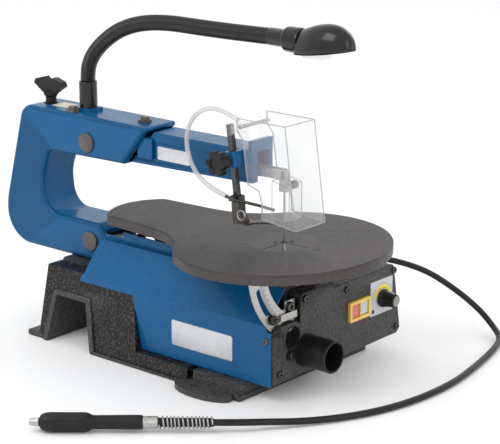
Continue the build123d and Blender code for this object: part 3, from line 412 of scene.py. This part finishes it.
MATERIALS = {
    # the light tone of each hammered black is painted glints
    "cast_black": hammered("hammered_black", (0.005, 0.0048, 0.0047), (0.07, 0.064, 0.061), 0.42, 0.9),
    "panel_black": hammered("panel_black", (0.005, 0.0046, 0.0046), (0.06, 0.054, 0.053), 0.42, 0.8),
    "blue_paint": enamel("blue_enamel", (0.0004, 0.066, 0.175), (0.0008, 0.077, 0.2), 0.26),
    "table_iron": ground_iron("table_iron", (0.03, 0.0265, 0.025), (0.044, 0.039, 0.0375)),
    "steel": brushed("bright_steel", (0.38, 0.37, 0.36), (0.55, 0.54, 0.52)),
    "dark_steel": brushed("black_steel", (0.06, 0.055, 0.05), (0.13, 0.12, 0.11), 0.35),
    "cap_metal": moulded("cap_satin", (0.07, 0.055, 0.05), (0.11, 0.09, 0.08), 0.35, coat=0.2),
    "black_plastic": moulded("black_plastic", (0.006, 0.006, 0.006), (0.012, 0.0115, 0.0115), 0.4),
    "gloss_black": moulded("gloss_black", (0.004, 0.0035, 0.0035), (0.008, 0.007, 0.007), 0.16, 500, 0.06,
                           0.3),
    "clear_plastic": clear("clear_guard", (0.8, 0.82, 0.84), 0.13),
    "rubber": moulded("black_rubber", (0.006, 0.006, 0.006), (0.012, 0.012, 0.012), 0.36, 600, 0.15),
    "yellow_plastic": moulded("yellow_plastic", (0.78, 0.5, 0.09), (0.88, 0.6, 0.13), 0.35, 600, 0.12, 0.3),
    "red_plastic": moulded("red_plastic", (0.6, 0.14, 0.12), (0.72, 0.22, 0.19), 0.3, 600, 0.1, 0.3),
    "green_plastic": moulded("pale_green_plastic", (0.45, 0.5, 0.5), (0.56, 0.62, 0.62), 0.3, 600, 0.1, 0.3),
    "aluminium": brushed("cast_aluminium", (0.42, 0.42, 0.41), (0.56, 0.56, 0.55), 0.42, (1, 1, 1)),
    "bulb_glass": moulded("white_glass", (0.88, 0.87, 0.84), (0.95, 0.94, 0.92), 0.15, 400, 0.03, 0.6),
}
WHITE = moulded("white_label", (0.5, 0.5, 0.54), (0.57, 0.57, 0.61), 0.4, 500, 0.06, 0.2)
YELLOW_INK = moulded("yellow_ink", (0.78, 0.66, 0.02), (0.86, 0.76, 0.04), 0.4, 500, 0.06)
# black for print on the dial and the bevel scale, and painted shade in the motor's cooling slots
INK_AND_PAINTED_SHADE = moulded("black_ink_and_painted_shade", (0.02, 0.02, 0.02), (0.03, 0.03, 0.03), 0.5, 500, 0.06)
CREAM = moulded("cream_label", (0.62, 0.56, 0.46), (0.7, 0.64, 0.53), 0.4, 500, 0.06, 0.2)
GREY_CAP = moulded("grey_cap", (0.22, 0.21, 0.2), (0.3, 0.29, 0.28), 0.35, 500, 0.1, 0.2)
SILVER_PLATE = brushed("plate_silver", (0.55, 0.56, 0.58), (0.7, 0.71, 0.73), 0.35, (1, 12, 1))
HOSE = clear("clear_hose", (0.62, 0.6, 0.6), 0.55)
EDGE_CLEAR = clear("guard_edge", (0.42, 0.44, 0.46), 0.5)

slot_of = {part["node"]: part["material_slot"] for part in frame["record"]["subparts"]}
for name, cad in nodes.items():
    cad.data.materials.clear()
    cad.data.materials.append(MATERIALS[slot_of[name]])


# ---------- cords ----------
def cord_curve(name, route, radius):
    """A NURBS curve with the route's points as its control points, in millimetres."""
    data = bpy.data.curves.new(name, "CURVE")
    data.dimensions = "3D"
    data.bevel_depth = radius * MM
    data.bevel_resolution = 6
    data.use_fill_caps = True
    data.resolution_u = 16
    spline = data.splines.new("NURBS")
    spline.points.add(len(route) - 1)
    for point, place_mm in zip(spline.points, route):
        point.co = (*mm(*place_mm), 1)
    spline.order_u = 3
    spline.use_endpoint_u = True
    curve = bpy.data.objects.new(name, data)
    bpy.context.scene.collection.objects.link(curve)
    return curve


def centreline(name, route):
    """Points along the route's NURBS spline, as Blender reads them."""
    line = cord_curve(name + "_line", route, 0)
    bpy.context.view_layer.update()
    mesh = bpy.data.meshes.new_from_object(line)
    points = [vert.co.copy() for vert in mesh.vertices]
    bpy.data.objects.remove(line)
    bpy.data.meshes.remove(mesh)
    return points


SHAFT_ROUTE = [(188, 48, 104), (213, 48, 104), (248, 27, 101), (284, -17, 85), (308, -55, 57),
               (319, -88, 32), (316, -113, 14), (300, -136, 6), (262, -150, 4.3), (195, -167, 4.3),
               (125, -180, 4.3), (60, -180, 4.3), (-2, -170, 4.3), (-58, -148, 4.5), (-108, -118, 6),
               (-143, -92, 9.5), (-170.7, -73, 12.1), (-190, -50, 12.1)]
CORD_RADIUS = 4.2
GRIP_START, GRIP_END = mm(-190, -50, 12.1), mm(-332, 119, 12.1)
GRIP_AXIS = (GRIP_END - GRIP_START).normalized()
GRIP_LENGTH = (GRIP_END - GRIP_START).length / MM
HOSE_X = -47.0
HOSE_ROUTE = [(HOSE_X, 36, 344), (HOSE_X, 56, 352), (HOSE_X, 84, 354), (HOSE_X, 110, 340),
              (HOSE_X, 123, 314), (HOSE_X, 120, 286), (HOSE_X, 104, 262), (HOSE_X, 78, 249),
              (HOSE_X, 56, 244)]


def make_spring_relief():
    """A black sleeve inside an open steel spring."""
    sleeve = lathe_mesh("shaft_sleeve", GRIP_START, GRIP_AXIS, [(0, 4.4), (1, 5.4), (62, 5.7), (67, 5.7)])
    sleeve = show("shaft_sleeve", sleeve, "frame", MATERIALS["rubber"])
    across = Z_AXIS.cross(GRIP_AXIS).normalized()
    turns, steps = 13, 28
    start, length = 1.5, 64
    path = []
    for step in range(turns * steps + 1):
        share = step / (turns * steps)
        angle = 2 * math.pi * turns * share
        reach = (6.4 + 0.6 * share) * MM
        # the end turns lie closer together
        along = (start + length * (share + 0.012 * math.sin(4 * math.pi * share))) * MM
        path.append(GRIP_START + GRIP_AXIS * along + across * math.cos(angle) * reach
                    + Z_AXIS * math.sin(angle) * reach)
    spring = show("shaft_spring", swept_mesh("shaft_spring", path, lambda index: 1.0 * MM, 10), "frame",
                  MATERIALS["steel"], 80)
    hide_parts("spring_relief")
    return [sleeve, spring]


def make_handpiece():
    """A knurled ferrule, a slim grip that widens to a fluted front, and the collet."""
    def knurl(angle, reach):
        return 1 + 0.03 * math.sin(30 * angle + reach * 2.2)
    ferrule = lathe_mesh("grip_ferrule", GRIP_START, GRIP_AXIS,
                         [(66.8, 6.2), (67.4, 7.1)] + [(67.4 + 0.5 * step, 7.3) for step in range(1, 34)]
                         + [(84.8, 7.1), (85.6, 6.6)], 180, knurl)
    show("grip_ferrule", ferrule, "frame", MATERIALS["steel"], 60)

    def flutes(angle, reach):
        depth = 0.06 * max(0.0, min(1.0, (reach - 152) / 6)) * max(0.0, min(1.0, (197 - reach) / 6))
        return 1 - depth * max(0.0, math.cos(6 * angle)) ** 2
    profile = [(84.6, 6.8), (85.2, 8.2), (86, 8.6), (90, 8.9), (104, 8.8), (124, 8.5), (140, 8.4), (145, 8.5),
               (148, 9.8), (150, 11.0), (152.5, 11.6)]
    profile += [(154 + 4 * step, 11.8) for step in range(0, 11)]
    profile += [(199, 11.6), (202, 11.1), (204, 10.4), (206.5, 9.1), (208, 7.2), (208, 4)]
    grip = show("grip_body", lathe_mesh("grip_body", GRIP_START, GRIP_AXIS, profile, 72, flutes), "frame",
                MATERIALS["black_plastic"], 50)
    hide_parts("handpiece_grip")

    def hexed(angle, reach):
        # six flats on the wide part of the nut
        if reach > 214.2:
            return 1.0
        return math.cos(math.pi / 6) / math.cos((angle % (math.pi / 3)) - math.pi / 6)
    profile = [(208.3, 4.0), (208.6, 5.4), (209.4, 6.4), (213.4, 6.4), (214.1, 6.1), (214.3, 4.9), (216, 4.6),
               (GRIP_LENGTH - 1, 4.1), (GRIP_LENGTH - 0.3, 3.8), (GRIP_LENGTH, 3.4), (GRIP_LENGTH, 1.7),
               (GRIP_LENGTH - 0.6, 1.6), (GRIP_LENGTH - 11, 1.6)]
    mesh = lathe_mesh("collet_body", GRIP_START, GRIP_AXIS, profile, 72, hexed)
    collet = show("collet_body", mesh, "collet", MATERIALS["steel"], 35)
    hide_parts("collet_nut")


def make_cords():
    """The flexible shaft with its spring and handpiece, and the clear air hose."""
    shaft = cord_curve("flexible_shaft", SHAFT_ROUTE, CORD_RADIUS)
    shaft.data.materials.append(MATERIALS["rubber"])
    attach(shaft, "frame")
    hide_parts("flex_shaft")
    make_spring_relief()
    make_handpiece()

    hose = cord_curve("clear_air_hose", HOSE_ROUTE, 3.0)
    hose.data.materials.append(HOSE)
    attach(hose, "hold_down")
    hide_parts("air_hose")


make_cords()


# ---------- lamp ----------
LAMP_Z = 443.5
SLEEVE_Y = 24.0
NECK_ROUTE = [(0, 346, 346.4), (0, 346, 358), (0, 341.5, 373), (0, 330, 389), (0, 309, 407), (0, 280, 424.5),
              (0, 241, 436.5), (0, 196, 441.6), (0, 140, 441.4), (0, 80, 442), (0, SLEEVE_Y, LAMP_Z)]
NECK_RADIUS = 10.5 * MM
RIB_PITCH = 3.0
RIB_STEPS = 6


def make_gooseneck():
    """A tube of close ribs, each a rounded ring."""
    path = even_path(centreline("neck", NECK_ROUTE), RIB_PITCH / RIB_STEPS * MM)

    def ribs(index):
        return NECK_RADIUS * (0.9 + 0.1 * abs(math.sin(math.pi * index / RIB_STEPS)))
    neck = show("gooseneck", swept_mesh("gooseneck", path, ribs, 28), "lamp", MATERIALS["gloss_black"],
                80)
    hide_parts("lamp_neck")


DOME_BACK, DOME_LENGTH, DOME_PEAK = -26.0, 79.5, 0.43
RIM_BACK, RIM_RISE = 428.5, 11.5
BULB_Y, CUP_TOP, NECK_TOP = -50.0, 452.0, 447.0
GLOBE_RADIUS = 9.0


def dome_point(along, turn):
    """A point of the lamp's dome: along runs from its collar to its tip, turn from rim to rim."""
    swell = math.sin(min(1.0, along / DOME_PEAK) * math.pi / 2)
    bulge = math.sqrt(max(0.0, 1 - max(0.0, (along - DOME_PEAK) / (1 - DOME_PEAK)) ** 2.3))
    half = max((15.5 + 7.0 * swell) * bulge, 0.2)
    height = max((28.5 + 6.8 * swell) * bulge, 0.2)
    rim = RIM_BACK + RIM_RISE * along ** 1.2
    return mm(half * math.cos(turn), DOME_BACK - DOME_LENGTH * along,
              rim + height * abs(math.sin(turn)) ** 0.85)


def make_dome():
    """The lamp's glossy dome, with a white inside."""
    dome_steps, turn_steps = 30, 28
    work = bmesh.new()
    grid = [[work.verts.new(dome_point(i / dome_steps, math.pi * j / turn_steps))
             for j in range(turn_steps + 1)] for i in range(dome_steps + 1)]
    for i in range(dome_steps):
        for j in range(turn_steps):
            work.faces.new((grid[i][j], grid[i][j + 1], grid[i + 1][j + 1], grid[i + 1][j]))
    bmesh.ops.remove_doubles(work, verts=work.verts, dist=0.05 * MM)
    bmesh.ops.recalc_face_normals(work, faces=work.faces)
    mesh = bpy.data.meshes.new("lamp_dome")
    work.to_mesh(mesh)
    work.free()
    dome = show("lamp_dome", mesh, "lamp", MATERIALS["gloss_black"], 60)
    dome.data.materials.append(MATERIALS["bulb_glass"])
    shell = dome.modifiers.new("wall", "SOLIDIFY")
    shell.thickness = 1.3 * MM
    shell.offset = -1
    shell.material_offset = 1
    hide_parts("lamp_shade")


def make_lamp_head():
    """The collar behind the dome, and the reflector cup and the bulb inside it."""
    profile = [(0, 9.6), (0.6, 10.9), (2, 11.3), (24.5, 11.3), (26, 11.7), (27, 14.0), (29, 15.5), (31, 15.9),
               (48, 15.9), (48.6, 15.1), (49.8, 15.1), (50.4, 15.8), (52, 15.4), (52.6, 13)]
    collar = lathe_mesh("lamp_collar", mm(0, SLEEVE_Y, LAMP_Z), -Y_AXIS, profile, 56)
    show("lamp_collar", collar, "lamp", MATERIALS["gloss_black"])
    cup = lathe_mesh("lamp_reflector", mm(0, BULB_Y, CUP_TOP), -Z_AXIS,
                     [(0, 9), (8, 13), (16, 16.2), (24, 18.2), (25.5, 18.2), (25.5, 17), (16, 15), (7, 11),
                      (3, 8.5)], 48)
    show("lamp_reflector", cup, "lamp", MATERIALS["bulb_glass"], 60)
    # the neck, then the round of the globe, whose centre is 2 mm more than its radius below the neck
    angles = [math.radians(degrees) for degrees in range(35, 180, 12)]
    profile = [(0, 5)] + [(GLOBE_RADIUS + 2 - GLOBE_RADIUS * math.cos(angle), GLOBE_RADIUS * math.sin(angle))
                          for angle in angles]
    globe = lathe_mesh("lamp_globe", mm(0, BULB_Y, NECK_TOP), -Z_AXIS, profile, 32)
    globe = show("lamp_globe", globe, "lamp", MATERIALS["bulb_glass"], 60)
    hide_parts("lamp_bulb")


make_gooseneck()
make_dome()
make_lamp_head()


# ---------- controls ----------
PANEL_Y = -47.0
DIAL_X, DIAL_Z = 146.0, 84.0
DIAL_PLATE, INK_THICKNESS = 0.6, 0.15
WINDOW_CENTRE, WINDOW_RIM = mm(-39.5, PANEL_Y - 0.2, 78), 15.3
PORT_LIP_CENTRE, PORT_LIP = mm(-13, PANEL_Y - 44.0, 55), 19.8


def hoop_mesh(name, centre, axis, radius, wire_radius, count=72):
    """A round wire bent into a ring, in millimetres."""
    axis = Vector(axis).normalized()
    across = axis.orthogonal().normalized()
    up = axis.cross(across)
    rings = []
    for step in range(count):
        angle = 2 * math.pi * step / count
        out = across * math.cos(angle) + up * math.sin(angle)
        rings.append(circle(centre + out * (radius * MM), out, axis, wire_radius * MM, 12))
    return ring_mesh(name, rings, closed=True)


def front_plate(name, outline, x, z, lift, thickness, material):
    """A plate that stands out of the control panel's face, from lift to lift + thickness."""
    bevel = min(0.15, thickness / 3)
    mesh = plate_mesh(name, outline, mm(x, PANEL_Y - lift, z), X_AXIS, Z_AXIS, thickness, bevel)
    return show(name, mesh, "frame", material)


def make_dial():
    """The speed dial: a white plate with a yellow arc and ticks, and a ribbed knob with a grey cap."""
    front_plate("dial_plate", rounded(48, 47, 1.2), DIAL_X - 1.5, DIAL_Z + 2.5, 0.0, DIAL_PLATE, WHITE)
    front_plate("dial_scale", sector(13.5, 18.5, 10, 170), DIAL_X, DIAL_Z, DIAL_PLATE, INK_THICKNESS,
                YELLOW_INK)
    front_plate("dial_mark", rounded(5, 5, 1), DIAL_X - 19.5, DIAL_Z - 15, DIAL_PLATE, INK_THICKNESS, INK_AND_PAINTED_SHADE)
    ticks = []
    for step in range(11):
        out, side = spoke(math.radians(10 + 16 * step))
        centre = mm(DIAL_X, PANEL_Y - DIAL_PLATE, DIAL_Z) + out * (20.6 * MM)
        ticks.append(plate_mesh("tick", rectangle(2.2, 0.44), centre, out, side, 0.12))
    show("dial_ticks", join_meshes("dial_ticks", ticks), "frame", INK_AND_PAINTED_SHADE)

    def ribs(angle, reach):
        return 1 + (0.025 * math.cos(18 * angle) if 4.4 < reach < 20.5 else 0)
    knob = lathe_mesh("speed_knob_body", mm(DIAL_X, PANEL_Y - 1.5, DIAL_Z), -Y_AXIS,
                      [(0, 11.6), (0.8, 12.0), (3.2, 12.0), (4.0, 11.3), (4.6, 10.7), (9, 10.1), (14, 9.4),
                       (20, 8.6), (21.4, 8.3), (22.1, 7.7), (22.3, 4)], 108, ribs)
    knob = show("speed_knob_body", knob, "speed_knob", MATERIALS["black_plastic"], 35)
    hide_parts("speed_knob")
    cap = lathe_mesh("speed_knob_cap", mm(DIAL_X, PANEL_Y - 23.4, DIAL_Z), -Y_AXIS,
                     [(0, 6.9), (0.5, 7.1), (0.9, 6.7), (1.0, 4), (1.05, 0.2)], 48)
    show("speed_knob_cap", cap, "speed_knob", GREY_CAP)
    mark = box_mesh("speed_knob_mark", (DIAL_X - 0.5, PANEL_Y - 20, DIAL_Z + 8.3),
                    (DIAL_X + 0.5, PANEL_Y - 7, DIAL_Z + 10.9), 0.2)
    show("speed_knob_mark", mark, "speed_knob", WHITE)


def make_panel_rims():
    """The rim of the panel's round hole, and the rolled lip of the dust port."""
    rim = hoop_mesh("window_rim", WINDOW_CENTRE, Y_AXIS, WINDOW_RIM, 0.7)
    show("window_rim", rim, "frame", MATERIALS["dark_steel"], 80)
    lip = hoop_mesh("port_lip", PORT_LIP_CENTRE, Y_AXIS, PORT_LIP, 1.1)
    show("port_lip", lip, "frame", MATERIALS["black_plastic"], 80)


make_dial()
make_panel_rims()


# ---------- bevel scale ----------
SCALE_CENTRE_Z, SCALE_FRONT = 184.0, -42.5
SCALE_INNER_EDGE = 100.2          # outer edge of the inner strip, beside the slot
SCALE_FIRST, SCALE_LAST = 12, 56  # degrees below the horizontal


def make_scale_ticks():
    """Degree lines on the inner strip of the bevel scale, longer at every fifth."""
    lines = []
    for degree in range(SCALE_FIRST, SCALE_LAST + 1):
        out, side = spoke(math.radians(180 + degree))
        length = 7.0 if degree % 5 == 0 else 4.2
        centre = mm(0, SCALE_FRONT, SCALE_CENTRE_Z) + out * ((SCALE_INNER_EDGE - length / 2) * MM)
        lines.append(plate_mesh("line", rectangle(length, 0.4), centre, out, side, 0.1))
    show("scale_lines", join_meshes("scale_lines", lines), "table", INK_AND_PAINTED_SHADE)


make_scale_ticks()


# ---------- blade guard's edges ----------
GUARD_EDGE_X, GUARD_EDGE_R = 28.8, 0.9
GUARD_SIDE = [(-24, 341), (53, 341), (53, 325), (43, 314), (35, 259), (17, 253), (12, 235), (12, 218),
              (-42, 212)]
DEFLECTOR_X, DEFLECTOR_R = 17.0, 0.6
DEFLECTOR_SIDE = [(-14, 216), (-14, 262), (6, 266), (6, 218)]


def bar_mesh(start, end, radius):
    """A straight round bar between two places in millimetres."""
    return swept_mesh("bar", [mm(*start), mm(*end)], lambda index: radius * MM, 8)


def edge_bars(half, side, crossed, radius):
    """Bars round the same side outline at x = -half and x = half, and across from one to the other."""
    bars = []
    for x in (-half, half):
        for (y0, z0), (y1, z1) in zip(side, side[1:] + side[:1]):
            bars.append(bar_mesh((x, y0, z0), (x, y1, z1), radius))
    return bars + [bar_mesh((-half, y, z), (half, y, z), radius) for y, z in crossed]


def make_guard_edges():
    """Thick moulded edges that catch the light round the clear guard."""
    bars = edge_bars(GUARD_EDGE_X, GUARD_SIDE, (GUARD_SIDE[0], GUARD_SIDE[-1]), GUARD_EDGE_R)
    show("guard_edges", join_meshes("guard_edges", bars), "guard", EDGE_CLEAR, 80)


def make_deflector():
    """The front and the edges of a small clear shield round the blade, inside the guard.

    Known fault: its rear cross bar goes through the upper blade clamp and the rocker's tip, also at rest, and
    its right side meets a clamp screw when the arm swings.
    """
    bars = edge_bars(DEFLECTOR_X, DEFLECTOR_SIDE, DEFLECTOR_SIDE[:3], DEFLECTOR_R)
    show("deflector_edges", join_meshes("deflector_edges", bars), "guard", EDGE_CLEAR, 80)
    (front_y, low), (_, high) = DEFLECTOR_SIDE[:2]
    front = plate_mesh("deflector_front", rectangle(2 * DEFLECTOR_X, high - low),
                       mm(0, front_y, (low + high) / 2), X_AXIS, Z_AXIS, 0.8)
    show("deflector_front", front, "guard", MATERIALS["clear_plastic"])


make_guard_edges()
make_deflector()


# ---------- hold-down foot ----------
RING_BEHIND, RING_ABOVE, RING_SUNK = 8.0, 12.0, 0.4


def make_foot():
    """The bright ring on the foot's left side, behind its middle and sunk a little into it."""
    low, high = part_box("hold_down_foot")
    middle = Vector((low[0], (low[1] + high[1]) / 2, low[2]))
    centre = middle + mm(RING_SUNK, RING_BEHIND, RING_ABOVE)
    ring = hoop_mesh("foot_ring", centre, X_AXIS, 6.0, 1.0, 48)
    show("foot_ring", ring, "hold_down", MATERIALS["steel"], 80)


make_foot()


# ---------- motor ----------
MOTOR_END = mm(155, 48, 104)
VENT_COUNT, VENT_RADIUS = 16, 25.0


def make_motor_vents():
    """Painted shade of the cooling slots round the motor's end cap, drawn as thin dark plates in place of
    open slots.
    """
    slot_shades = []
    for step in range(VENT_COUNT):
        angle = 2 * math.pi * step / VENT_COUNT
        out = Vector((0, math.cos(angle), math.sin(angle)))
        side = Vector((0, -math.sin(angle), math.cos(angle)))
        centre = MOTOR_END + out * (VENT_RADIUS * MM)
        # each thin dark plate is painted shade standing in for the inside of a slot
        slot_shades.append(plate_mesh("slot", rounded(16, 3, 1.4), centre, out, side, 0.25))
    show("motor_vent_shades", join_meshes("motor_vent_shades", slot_shades), "frame", INK_AND_PAINTED_SHADE)


make_motor_vents()


# ---------- name plates, left blank ----------
def side_plate(name, centre, width, height):
    """A blank plate on a face that looks left, centred on a place of that face in millimetres."""
    mesh = plate_mesh(name, rounded(width, height, 3), mm(*centre), -Y_AXIS, Z_AXIS, 0.8, 0.3)
    show(name, mesh, "frame", SILVER_PLATE)


def make_plates():
    """The plates on the side cover and the upper arm, and a label on the frame's top."""
    side_plate("cover_plate", (-78.6, 70, 58), 104, 34)
    side_plate("arm_plate", (-18.8, 171, 272), 58, 18)
    label = box_mesh("top_plate", (-12, 378, 305), (12, 406, 305.8), 0.25)
    show("top_plate", label, "frame", CREAM)


make_plates()


# ---------- light, floor ----------
FLOOR_SIZE, FLOOR_Z = 12, -0.0004  # metres


def make_floor():
    """A pale floor just below the saw's feet."""
    mesh = bpy.data.meshes.new("floor")
    mesh.from_pydata([(x, y, FLOOR_Z) for x, y in rectangle(FLOOR_SIZE, FLOOR_SIZE)], [], [(0, 1, 2, 3)])
    floor = bpy.data.objects.new("floor", mesh)
    bpy.context.scene.collection.objects.link(floor)
    floor.data.materials.append(new_material("pale_floor", (0.96, 0.96, 0.96), 0.8))


def area_light(name, location, target, size, power):
    """A square light at one place that looks at another, in metres."""
    data = bpy.data.lights.new(name, "AREA")
    data.size = size
    data.energy = power
    light = bpy.data.objects.new(name, data)
    light.location = location
    light.rotation_mode = "QUATERNION"
    light.rotation_quaternion = (Vector(target) - Vector(location)).to_track_quat("-Z", "Y")
    bpy.context.scene.collection.objects.link(light)


def make_light():
    """Even white surroundings and three soft lights."""
    world = bpy.data.worlds.new("studio")
    bpy.context.scene.world = world
    world.use_nodes = True
    world.node_tree.nodes["Background"].inputs["Color"].default_value = (1, 1, 1, 1)
    world.node_tree.nodes["Background"].inputs["Strength"].default_value = 1.0
    area_light("key", (-1.6, 0.5, 1.9), (0, 0.15, 0.2), 1.2, 14)
    area_light("front", (-0.3, -2.2, 1.2), (0, 0.1, 0.2), 1.4, 7)
    area_light("right", (2.0, 0.2, 1.4), (0, 0.2, 0.2), 1.2, 5)
    bpy.context.scene.view_settings.view_transform = "Standard"


make_floor()
make_light()
